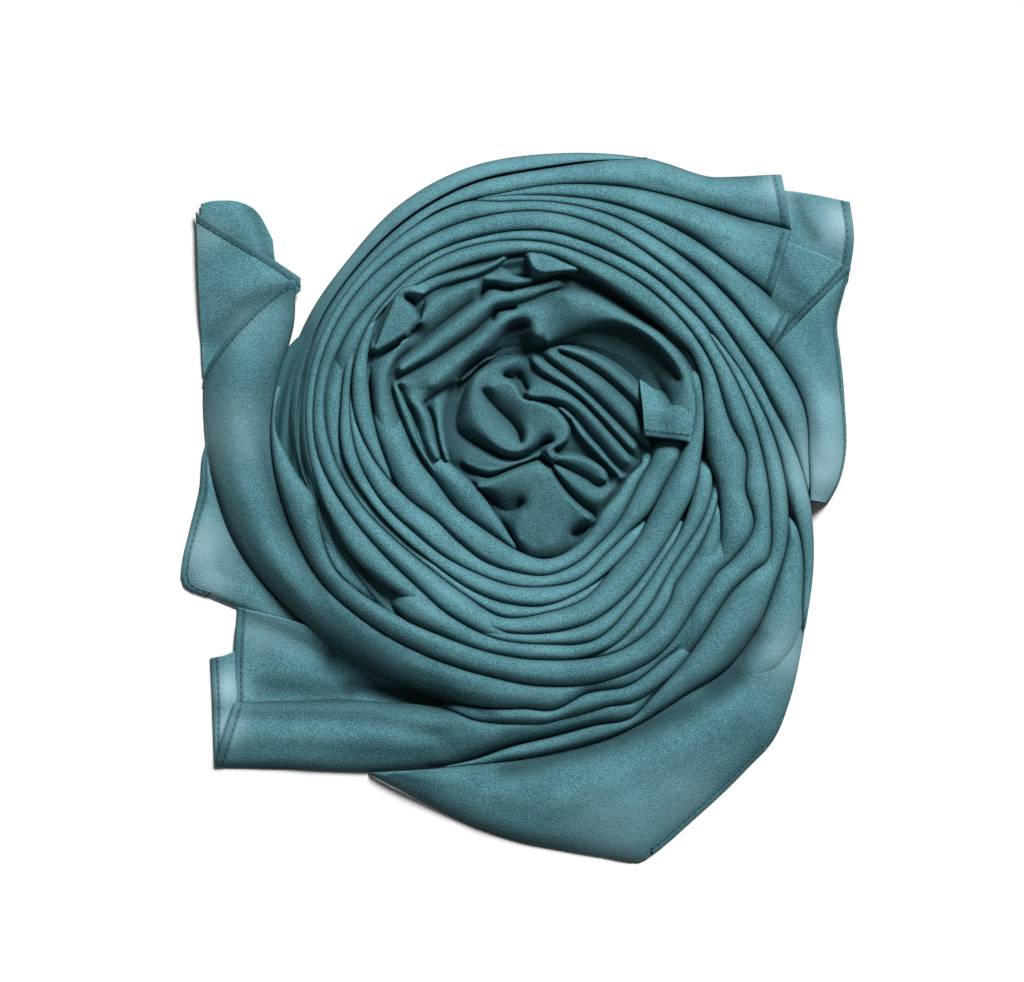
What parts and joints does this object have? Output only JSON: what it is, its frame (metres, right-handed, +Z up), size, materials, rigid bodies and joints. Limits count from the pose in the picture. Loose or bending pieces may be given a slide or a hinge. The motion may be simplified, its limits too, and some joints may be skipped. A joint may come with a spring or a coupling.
{
  "type": "hijab headscarf",
  "caption": "Long crepe chiffon hijab headscarf, hemmed all round, gathered and swirled into a flat rose-like coil with its loose corners spread on the surface.",
  "frame": {"origin": "middle of the heap's bounding box, on the surface that it lies on", "axes": "+Z up from the surface, towards the picture's camera; +X to the picture's right and +Y to its top"},
  "size_m": [0.334, 0.3539, 0.0303],
  "materials": {
    "teal_chiffon": "matte teal crepe chiffon, gathered in many layers",
    "single_layer_chiffon": "the same teal chiffon in one or two layers, so lighter and slightly sheer",
    "hidden_chiffon": "the same chiffon, in shadow under the folds"
  },
  "bodies": {
    "root": {"hidden_layers": "hidden_chiffon", "rim_fold": "teal_chiffon", "right_fold": "teal_chiffon", "shadow_fold": "teal_chiffon", "main_fold": "teal_chiffon", "broad_fold": "teal_chiffon", "broad_fold_edge": "teal_chiffon", "lower_right_wedge": "teal_chiffon", "lower_lip_fold": "teal_chiffon", "lower_fold": "teal_chiffon", "right_inner_fold": "teal_chiffon", "upper_inner_fold": "teal_chiffon", "left_fold_1": "teal_chiffon", "left_fold_2": "teal_chiffon", "left_fold_3": "teal_chiffon", "hemmed_strip": "teal_chiffon", "hemmed_strip_end": "teal_chiffon", "basin_rim_fold": "teal_chiffon", "basin_fold_1": "teal_chiffon", "basin_fold_2": "teal_chiffon", "hooked_tip_fold": "teal_chiffon", "shoulder_fold": "teal_chiffon", "basin_back_fold": "teal_chiffon", "ledge_fold": "teal_chiffon", "crossing_fold": "teal_chiffon", "corner_tag": "teal_chiffon", "inner_back_fold": "teal_chiffon", "well_fold": "teal_chiffon", "upper_flap_1": "teal_chiffon", "upper_flap_2": "teal_chiffon", "upper_flap_3": "teal_chiffon", "upper_flap_4": "single_layer_chiffon", "right_sheet": "teal_chiffon", "bottom_sheet": "teal_chiffon", "under_sheet": "teal_chiffon", "tail": "teal_chiffon", "left_drape": "teal_chiffon", "back_corner": "single_layer_chiffon", "left_middle_layer": "single_layer_chiffon", "left_back_layer": "single_layer_chiffon", "lower_left_sheet": "single_layer_chiffon", "lower_left_hem": "single_layer_chiffon", "middle_fold_1": "teal_chiffon", "middle_fold_2": "teal_chiffon", "middle_curl": "teal_chiffon", "middle_s_fold": "teal_chiffon", "middle_lobe": "teal_chiffon"}
  },
  "joints": []
}
